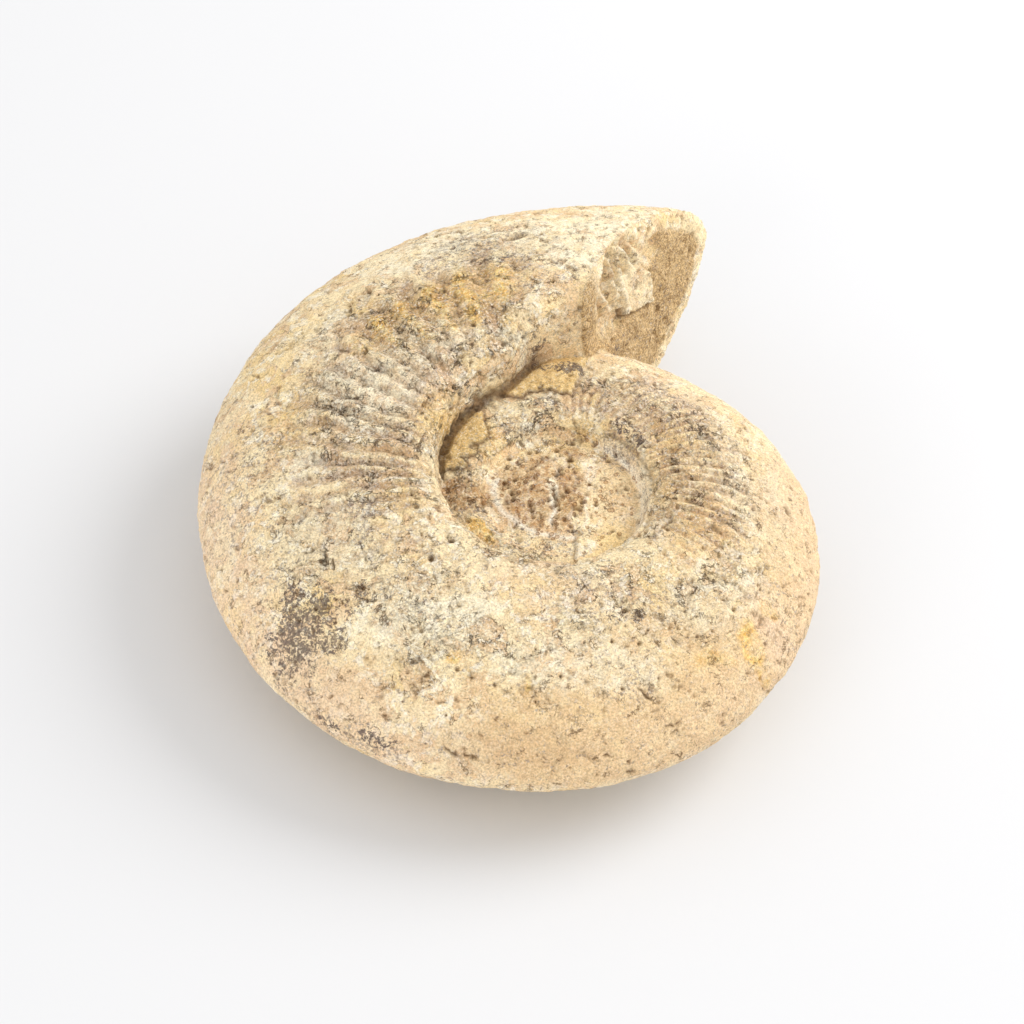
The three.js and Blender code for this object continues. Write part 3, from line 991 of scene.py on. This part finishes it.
def carve_corner(skin, face, flat):
    """The splintered corner with its blades, and the raised plate. Returns the smooth parts of both."""
    corner = 1 - smooth_step(0.5, 1.25, ((flat[:, 0] - 57.5) / 12) ** 2 + ((flat[:, 1] - 13) / 11.5) ** 2)
    near_face = smooth_step(0.0, 0.5, face) * corner
    skin.height -= CORNER_DEPTH * near_face
    blades = face_blades(flat)
    skin.height += BLADE_HEIGHT * near_face * blades.clip(0, 1) ** 0.8
    inside = inside_by(flat, FACE_PLATE)
    plate = smooth_step(-0.3, 0.25, inside)
    skin.height += face * plate * (1 - blades) * (0.7 + near_face)
    under = smooth_step(-1.3, -0.5, inside) * (1 - plate) * (flat[:, 1] < 6)
    between = near_face * (1 - blades) * (1 - plate)
    broken = smooth_step(-0.3, 0.4, noise(skin.points / 0.9, 93))
    # Painted shade in the hollows between the blades.
    skin.paint_shade(0.4 * between * broken)
    skin.spared |= (near_face > 0.15) | (face * plate > 0.15)
    skin.pale = np.maximum(near_face * blades, 0.5 * face * plate)
    skin.height -= 0.8 * under * face
    # Painted shadow under the plate's lower edge.
    skin.paint_shade(0.9 * under * face)
    return np.maximum(corner * 0.85, plate * 0.8)


def carve_face(skin, places):
    """The broken face: the corner, a smooth hollow and a smooth outer band. Returns what is not sandy."""
    away = places.away
    z = skin.points[:, 2]
    jitter = np.stack([noise(skin.points / 1.5, 91), noise(skin.points / 1.5, 92)], axis=1)
    flat = np.stack([away, z], axis=1) + 0.35 * jitter
    corner = carve_corner(skin, places.face, flat)
    hollow = 1 - smooth_step(0.2, 1.2, ((away - 73.5) / 4.2) ** 2 + ((z - 9.5) / 4.0) ** 2)
    skin.height -= 1.5 * hollow * places.face
    waver = 1.2 * noise(skin.points / 4.0, 95)
    band = 1 - smooth_step(3.6, 4.8, places.to_edge + 0.3 * waver)
    band = band * smooth_step(62, 72, away - 0.9 * z)
    crust = smooth_step(8.0, 12.0, z + waver + 0.12 * (60 - away))
    crust = crust * smooth_step(43, 50, away + 1.5 * waver)
    return np.maximum.reduce([band, hollow * 0.8, corner, crust])


# ---------------- the finished mesh

MOST_TRIANGLES = 197000
INSET = 0.15  # the skin is drawn in this far before its relief is added
BOX_MARGIN = 0.02
STRONGEST_MASK = 1.5
THINNING_BIAS = 0.002  # how much the upper side is spared
THINNING_LEVELS = 4
LEAST_WEIGHT = 0.05


def boxed(rest):
    """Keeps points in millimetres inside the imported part's box and on the ground."""
    low = np.array(CAD_LOW) / MM + BOX_MARGIN
    high = np.array(CAD_HIGH) / MM - BOX_MARGIN
    low[2] = 0.0
    return np.clip(rest, low, high)


def finished_mesh(mesh, skin, masks):
    """Moves the points, tips the stone to rest, keeps it in the box and stores the masks."""
    turned, shift = tipping()
    moved = skin.points + skin.normals * (skin.height - INSET)[:, None]
    rest = moved @ turned.T + shift
    mesh.vertices.foreach_set("co", boxed(rest).astype(np.float32).ravel())
    for name, values in {**masks, "painted_shade": skin.painted_shade}.items():
        attribute = mesh.attributes.new(name, "FLOAT", "POINT")
        attribute.data.foreach_set("value", values.clip(0, STRONGEST_MASK).astype(np.float32))
    mesh.update()


def thinned(stone, upper, spared):
    """Thins the mesh to the most triangles allowed, most on the hidden underside. Scales it to metres."""
    group = stone.vertex_groups.new(name="coarse")
    levels = np.round((1 - upper) * THINNING_LEVELS).astype(int)
    for level in range(THINNING_LEVELS + 1):
        chosen = np.nonzero((levels == level) & ~spared)[0]
        weight = LEAST_WEIGHT + (1 - LEAST_WEIGHT) * level / THINNING_LEVELS
        group.add(chosen.tolist(), weight, "REPLACE")
    triangles = len(stone.data.loops) - 2 * len(stone.data.polygons)
    decimate = stone.modifiers.new("thin", "DECIMATE")
    decimate.ratio = MOST_TRIANGLES / triangles
    decimate.vertex_group = "coarse"
    decimate.vertex_group_factor = THINNING_BIAS
    made = evaluated_mesh(stone)
    stone.modifiers.clear()
    stone.vertex_groups.clear()
    points, _ = arrays_of(made)
    made.vertices.foreach_set("co", (boxed(points) * MM).astype(np.float32).ravel())
    made.update()
    stone.data = made
    return made


# ---------------- material


def linear(red, green, blue):
    """A colour given in the usual 0 to 255 steps, for the shader."""
    parts = []
    for value in (red, green, blue):
        share = value / 255
        parts.append(share / 12.92 if share <= 0.04045 else ((share + 0.055) / 1.055) ** 2.4)
    return (*parts, 1.0)


class Value:
    """What a node of a material gives, with the usual arithmetic."""

    def __init__(self, shader, socket):
        self.shader = shader
        self.socket = socket

    def math(self, operation, first, second):
        return self.shader.node("Math", 0, {0: first, 1: second}, operation=operation)

    def __add__(self, other):
        return self.math("ADD", self, other)

    def __sub__(self, other):
        return self.math("SUBTRACT", self, other)

    def __rsub__(self, other):
        return self.math("SUBTRACT", other, self)

    def __mul__(self, other):
        return self.math("MULTIPLY", self, other)

    def at_most(self, other):
        return self.math("MINIMUM", self, other)

    def at_least(self, other):
        return self.math("MAXIMUM", self, other)

    def span(self, low, high, to_low=0.0, to_high=1.0):
        """Eases from one result to another as the value goes from low to high."""
        inputs = {"Value": self, "From Min": low, "From Max": high, "To Min": to_low, "To Max": to_high}
        return self.shader.node("MapRange", "Result", inputs, interpolation_type="SMOOTHSTEP")


class Shader:
    """One material, and short ways to add its nodes."""

    def __init__(self, name):
        self.material = bpy.data.materials.new(name)
        self.material.use_nodes = True
        self.tree = self.material.node_tree
        self.tree.nodes.clear()
        output = self.tree.nodes.new("ShaderNodeOutputMaterial")
        self.surface = self.tree.nodes.new("ShaderNodeBsdfPrincipled")
        self.tree.links.new(self.surface.outputs["BSDF"], output.inputs["Surface"])
        self.coordinates = self.node("TexCoord", "Object")

    def feed(self, socket, value):
        if isinstance(value, Value):
            self.tree.links.new(value.socket, socket)
        else:
            socket.default_value = value

    def node(self, kind, output, inputs=None, **settings):
        """Adds a node, sets it up, feeds its inputs and returns one of its outputs."""
        node = self.tree.nodes.new("ShaderNode" + kind)
        for name, value in settings.items():
            setattr(node, name, value)
        for key, value in (inputs or {}).items():
            self.feed(node.inputs[key], value)
        return Value(self, node.outputs[output])

    def mask(self, name):
        return self.node("Attribute", "Fac", attribute_name=name)

    def shifted(self, shift):
        """Object coordinates, moved so that two textures of one kind do not match."""
        if shift is None:
            return self.coordinates
        return self.node("VectorMath", 0, {0: self.coordinates, 1: shift}, operation="ADD")

    def noise(self, size_mm, detail, roughness, distortion=0.0, shift=None):
        inputs = {
            "Vector": self.shifted(shift),
            "Scale": 1 / (size_mm * MM),
            "Detail": detail,
            "Roughness": roughness,
            "Distortion": distortion,
        }
        return self.node("TexNoise", "Fac", inputs)

    def cells(self, size_mm, shift):
        inputs = {"Vector": self.shifted(shift), "Scale": 1 / (size_mm * MM)}
        return self.node("TexVoronoi", "Distance", inputs, feature="F1")

    def mix(self, factor, first, second, blend="MIX"):
        inputs = {"Factor": factor, 6: first, 7: second}
        return self.node("Mix", 2, inputs, data_type="RGBA", blend_type=blend)


CREAM = linear(251, 233, 189)
CREAM_WHITE = linear(250, 238, 208)
WHITE = linear(255, 250, 234)
TAN = linear(223, 189, 142)
SAND = linear(238, 208, 158)
GOLD = linear(246, 216, 138)
OCHRE = linear(232, 178, 88)
PINK = linear(240, 210, 182)
BROWN = linear(176, 130, 80)
UMBER = linear(150, 116, 80)
GREY = linear(162, 149, 140)
GREY_DARK = linear(124, 108, 100)
DARK = linear(84, 70, 62)
# the colour of the painted shade in crevices, cracks, holes and along the crust's broken edges
PAINTED_SHADE_BROWN = linear(104, 74, 44)
PIT_WALL_SHADE = linear(140, 94, 52)
GROOVE_BROWN = linear(200, 160, 116)
GROOVE_GREY = linear(182, 156, 138)
UNDER_LIGHT = linear(242, 215, 172)
UNDER_DARK = linear(223, 188, 143)
LAYER_LIGHT = linear(236, 204, 142)
LAYER_DARK = linear(216, 180, 116)
SAND_LIGHT = linear(215, 183, 133)
SAND_DARK = linear(156, 124, 82)

BUMP_HEIGHT = 0.68  # in millimetres
PIT_CELL = 1.5


def crust_layer(paint, size, level, shift, detail=9):
    """A thin broken layer: where it lies, and the painted shadow line along its edge."""
    value = paint.noise(size, detail, 0.66, 0.5, shift)
    lies = value.span(level, level + 0.012)
    line = value.span(level - 0.016, level - 0.002) - lies
    return lies, line.at_least(0.0)


class Grain:
    """The noises and the thin layers of crust that the stone's colour and relief share."""

    def __init__(self, paint):
        self.broad = paint.noise(14, 4, 0.6)
        self.middling = paint.noise(4.5, 6, 0.65, 0.4, (0.3, 0.1, 0.2))
        self.scattered = paint.noise(2.2, 6, 0.7, 0.6, (0.7, 0.4, 0.9))
        self.fine = paint.noise(1.1, 4, 0.65, 0.3)
        self.specks = paint.noise(0.8, 5, 0.75, 0.5, (0.1, 0.8, 0.5))
        self.dots = paint.noise(0.5, 3, 0.7, 0.3, (0.6, 0.2, 0.8))
        self.grain = paint.noise(0.4, 3, 0.65)
        self.first, self.first_edge = crust_layer(paint, 7.0, 0.462, (0.2, 0.6, 0.3))
        self.second, self.second_edge = crust_layer(paint, 3.2, 0.53, (0.5, 0.5, 0.1))
        self.third, self.third_edge = crust_layer(paint, 1.7, 0.565, (0.9, 0.2, 0.6), 6)
        self.flaky = paint.mask("flaky")
        self.sandy = paint.mask("sandy")
        self.smooth = paint.mask("layer")


def crust_colour(paint, look):
    """Mottled tan to pinkish stone under three thin layers of crust, each broken off at ragged edges."""
    tone = look.fine * 0.5 + look.scattered * 0.5
    under = paint.mix(tone.span(0.38, 0.60), UNDER_LIGHT, UNDER_DARK)
    upper = paint.mix((look.broad * 0.5 + look.middling * 0.5).span(0.42, 0.60), CREAM, SAND)
    upper = paint.mix(look.broad.span(0.5, 0.66) * 0.45, upper, GOLD)
    colour = paint.mix(look.first * 0.75, under, upper)
    colour = paint.mix(look.second * 0.6, colour, paint.mix(look.fine.span(0.4, 0.6), CREAM, WHITE))
    return paint.mix(look.third * (look.flaky * 0.5), colour, TAN)


def patch_colour(paint, look, colour):
    """Patches: tan (mostly painted shade), pink, brown, ochre, pale (partly painted light); grooves, layers,
    sandy face.
    """
    tone = look.fine * 0.5 + look.scattered * 0.5
    # The tan patches are mostly painted shade, darkening the right and lower side as if less lit.
    shade_and_tan = paint.mask("tan") * look.middling.span(0.3, 0.7, 0.5, 1.0)
    colour = paint.mix(shade_and_tan.at_most(0.92), colour, paint.mix(look.scattered.span(0.44, 0.66), TAN, SAND))
    pink = paint.mask("pink") * look.middling.span(0.3, 0.7, 0.35, 0.9)
    colour = paint.mix(pink, colour, PINK)
    brown = paint.mask("brown") * tone.span(0.36, 0.62, 0.2, 1.0)
    colour = paint.mix(brown.at_most(0.8), colour, BROWN)
    ochre = paint.mask("ochre") * look.middling.span(0.36, 0.56, 0.2, 1.1)
    colour = paint.mix(ochre.at_most(0.9), colour, paint.mix(look.fine.span(0.35, 0.6), GOLD, OCHRE))
    grooves = paint.mask("groove") * (look.specks * 0.6 + look.scattered * 0.4).span(0.38, 0.56, 0.15, 1.0)
    groove_colour = paint.mix(look.middling.span(0.42, 0.58), GROOVE_BROWN, GROOVE_GREY)
    colour = paint.mix(grooves.at_most(0.55), colour, groove_colour)
    colour = paint.mix(paint.mask("seam") * look.fine.span(0.3, 0.55, 1.0, 0.6), colour, WHITE)
    # The pale patches are cream-white crust and, on the ribbed flanks, painted light.
    pale = paint.mask("pale") * look.scattered.span(0.36, 0.6, 1.0, 0.2)
    colour = paint.mix(pale.at_most(0.8), colour, CREAM_WHITE)
    layer_colour = paint.mix(look.fine.span(0.4, 0.6), LAYER_LIGHT, LAYER_DARK)
    colour = paint.mix(look.smooth * 0.9, colour, layer_colour)
    sandstone = paint.mix((look.grain * 0.6 + look.fine * 0.4).span(0.40, 0.60), SAND_DARK, SAND_LIGHT)
    sandstone = paint.mix(look.middling.span(0.5, 0.62, 0.0, 0.6), sandstone, SAND_LIGHT)
    return paint.mix(look.sandy, colour, sandstone)


def pit_colour(paint, colour):
    """Small round pits in the filled middle: painted shade on their rims, darker brown floors. Returns the
    colour and where the pits are.
    """
    cell = paint.cells(PIT_CELL, (0.2, 0.2, 0.4))
    pitted = paint.mask("pitted")
    rim = cell.span(0.36, 0.31) * cell.span(0.2, 0.26)
    chosen = (paint.noise(2.4, 2, 0.5) + pitted * 0.16).span(0.54, 0.58) * pitted.span(0.05, 0.15)
    colour = paint.mix(rim * chosen * 0.75, colour, PIT_WALL_SHADE)
    cup = cell.span(0.28, 0.2) * chosen
    return paint.mix(cup * 0.5, colour, BROWN), cup


def speckle_colour(paint, look, colour):
    """Grey and dark speckle, which thickens where the marks are strong, and brown and white dots."""
    grey = (look.specks + paint.mask("grey") * 0.09 + look.scattered * 0.3).span(0.715, 0.80)
    colour = paint.mix(grey * 0.7, colour, paint.mix(look.dots.span(0.42, 0.58), GREY, GREY_DARK))
    stained = paint.mask("stain")
    stain = (look.specks + stained * 0.115 + look.scattered * 0.35).span(0.735, 0.80)
    stain = stain * stained.span(0.02, 0.35)
    colour = paint.mix(stain * 0.85, colour, paint.mix(look.dots.span(0.46, 0.6), DARK, GREY_DARK))
    dotted = look.flaky * look.middling.span(0.4, 0.58, 0.25, 1.0) + 0.12
    colour = paint.mix(look.dots.span(0.55, 0.61) * dotted * 0.6, colour, UMBER)
    return paint.mix(look.dots.span(0.45, 0.39) * dotted * 0.65, colour, WHITE)


def edge_shadow_lines(paint, look, bare):
    """Painted shadow: dark lines along the broken edges of the crust, only here and there."""
    gate = paint.noise(2.6, 1, 0.5, 0.0, (0.4, 0.7, 0.1))
    kept = (gate + look.flaky * 0.08).span(0.585, 0.625)
    lines = look.first_edge.at_least(look.second_edge * 0.9)
    lines = lines.at_least(look.third_edge * (look.flaky * 0.6))
    return lines * kept * bare


def fine_relief(look, bare, lines, cup):
    """Relief too fine for the mesh."""
    layers = look.first * 0.5 + (look.second * 0.35 + look.third * -0.3)
    layers = layers * (bare * (look.flaky * 0.6 + 0.4))
    relief = look.fine * 0.6 + look.grain * (look.sandy * 0.4 + 0.25)
    relief = relief + look.specks * (look.flaky * 0.35 + 0.15)
    return relief + layers + lines * -0.5 + cup * -0.8


def stone_material():
    """Chalky limestone: cream to tan crust, ochre and grey stains, flake edges, pits and grain."""
    paint = Shader("limestone")
    look = Grain(paint)
    colour = crust_colour(paint, look)
    colour = patch_colour(paint, look, colour)
    colour, cup = pit_colour(paint, colour)
    colour = speckle_colour(paint, look, colour)
    bare = 1.0 - look.smooth.at_least(look.sandy)
    lines = edge_shadow_lines(paint, look, bare)
    # Painted shade: crevices, cracks, holes, feet of steps and broken crust edges are drawn dark brown.
    dark = lines.at_least(paint.mask("painted_shade") * 0.95)
    colour = paint.mix((dark * 0.85).at_most(0.85), colour, PAINTED_SHADE_BROWN)
    colour = paint.mix(1.0, colour, look.grain.span(0.34, 0.66, 0.78, 1.18), "MULTIPLY")
    bump_inputs = {
        "Strength": look.flaky.span(0.05, 0.8, 0.45, 1.0),
        "Distance": BUMP_HEIGHT * MM,
        "Height": fine_relief(look, bare, lines, cup),
    }
    paint.feed(paint.surface.inputs["Base Color"], colour)
    paint.feed(paint.surface.inputs["Roughness"], look.fine.span(0.3, 0.7, 0.78, 0.96))
    paint.feed(paint.surface.inputs["Normal"], paint.node("Bump", "Normal", bump_inputs))
    paint.surface.inputs["Specular IOR Level"].default_value = 0.2
    return paint.material


# ---------------- making the stone


def make_stone():
    """Builds the coil, rounds its broken edge, carves it, thins it and gives it its material."""
    mesh = base_mesh()
    places = Places(*arrays_of(mesh))
    mesh = round_edge(mesh, places)
    skin = Skin(*arrays_of(mesh))
    finished_mesh(mesh, skin, carve(skin, places))
    stone = bpy.data.objects.new("ammonite_stone", mesh)
    bpy.context.scene.collection.objects.link(stone)
    mesh = thinned(stone, places.upper, skin.spared)
    mesh.name = "ammonite_stone"
    mesh.materials.clear()
    mesh.materials.append(stone_material())
    for polygon in mesh.polygons:
        polygon.use_smooth = True
    return stone


ammonite = make_stone()
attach(ammonite, "root")
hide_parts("ammonite")

# ---------------- floor, lights and camera

FLOOR_HALF = 9.0
FLOOR_DROP = 0.0002
FLOOR_MOTTLE = 600  # in millimetres
WORLD_STRENGTH = 0.90
CAMERA_ELEVATION = 52.55 * DEGREE
CAMERA_ROLL = -4.69 * DEGREE
CAMERA_DISTANCE = 502.0
CAMERA_AIM = (-8.47, 3.29)  # right of and above the coil's axis, as the camera sees it
CAMERA_LENS = 85.8


def floor():
    """A wide pale floor."""
    mesh = bpy.data.meshes.new("floor")
    half = FLOOR_HALF
    corners = [(-half, -half, 0), (half, -half, 0), (half, half, 0), (-half, half, 0)]
    mesh.from_pydata(corners, [], [(0, 1, 2, 3)])
    ground = bpy.data.objects.new("floor", mesh)
    ground.location.z = -FLOOR_DROP
    bpy.context.scene.collection.objects.link(ground)
    paint = Shader("floor")
    tone = paint.mix(paint.noise(FLOOR_MOTTLE, 2, 0.5), linear(222, 222, 223), linear(225, 225, 226))
    paint.feed(paint.surface.inputs["Base Color"], tone)
    paint.surface.inputs["Roughness"].default_value = 0.9
    paint.surface.inputs["Specular IOR Level"].default_value = 0.1
    mesh.materials.append(paint.material)


def soft_light(name, place, size, power, towards=(0, 0, 0.02)):
    """A round lamp that faces the stone."""
    data = bpy.data.lights.new(name, "AREA")
    data.shape = "DISK"
    data.size = size
    data.energy = power
    lamp = bpy.data.objects.new(name, data)
    lamp.location = place
    lamp.rotation_euler = (Vector(towards) - Vector(place)).to_track_quat("-Z", "Y").to_euler()
    bpy.context.scene.collection.objects.link(lamp)


def surroundings():
    """Even white light from all round."""
    world = bpy.data.worlds.new("studio")
    world.use_nodes = True
    background = world.node_tree.nodes["Background"]
    background.inputs["Color"].default_value = (1.0, 1.0, 1.0, 1.0)
    background.inputs["Strength"].default_value = WORLD_STRENGTH
    bpy.context.scene.world = world


def camera():
    """The camera, placed in the coil's frame and tipped along with the stone."""
    turned, shift = tipping()
    sine, cosine = math.sin(CAMERA_ELEVATION), math.cos(CAMERA_ELEVATION)
    back = np.array([0, -cosine, sine])
    level_right = np.array([1.0, 0.0, 0.0])
    level_up = np.array([0, sine, cosine])
    right = math.cos(CAMERA_ROLL) * level_right - math.sin(CAMERA_ROLL) * level_up
    up = math.sin(CAMERA_ROLL) * level_right + math.cos(CAMERA_ROLL) * level_up
    place = turned @ (CAMERA_DISTANCE * back) + shift
    target = turned @ (CAMERA_AIM[0] * right + CAMERA_AIM[1] * up) + shift
    away = place - target
    away /= np.linalg.norm(away)
    side = np.cross(turned @ up, away)
    side /= np.linalg.norm(side)
    over = np.cross(away, side)
    pose = Matrix.Identity(4)
    for row in range(3):
        pose[row][0] = side[row]
        pose[row][1] = over[row]
        pose[row][2] = away[row]
        pose[row][3] = place[row] * MM
    data = bpy.data.cameras.new("camera")
    data.lens = CAMERA_LENS
    data.sensor_width = 36.0
    data.clip_start = 0.01
    data.clip_end = 20
    eye = bpy.data.objects.new("camera", data)
    eye.matrix_world = pose
    bpy.context.scene.collection.objects.link(eye)
    bpy.context.scene.camera = eye


floor()
surroundings()
soft_light("key", (0.8, 0.45, 0.75), 0.8, 8.6)
soft_light("low_fill", (-0.75, -1.2, 0.42), 0.9, 5.0)
camera()
bpy.context.scene.view_settings.view_transform = "Standard"
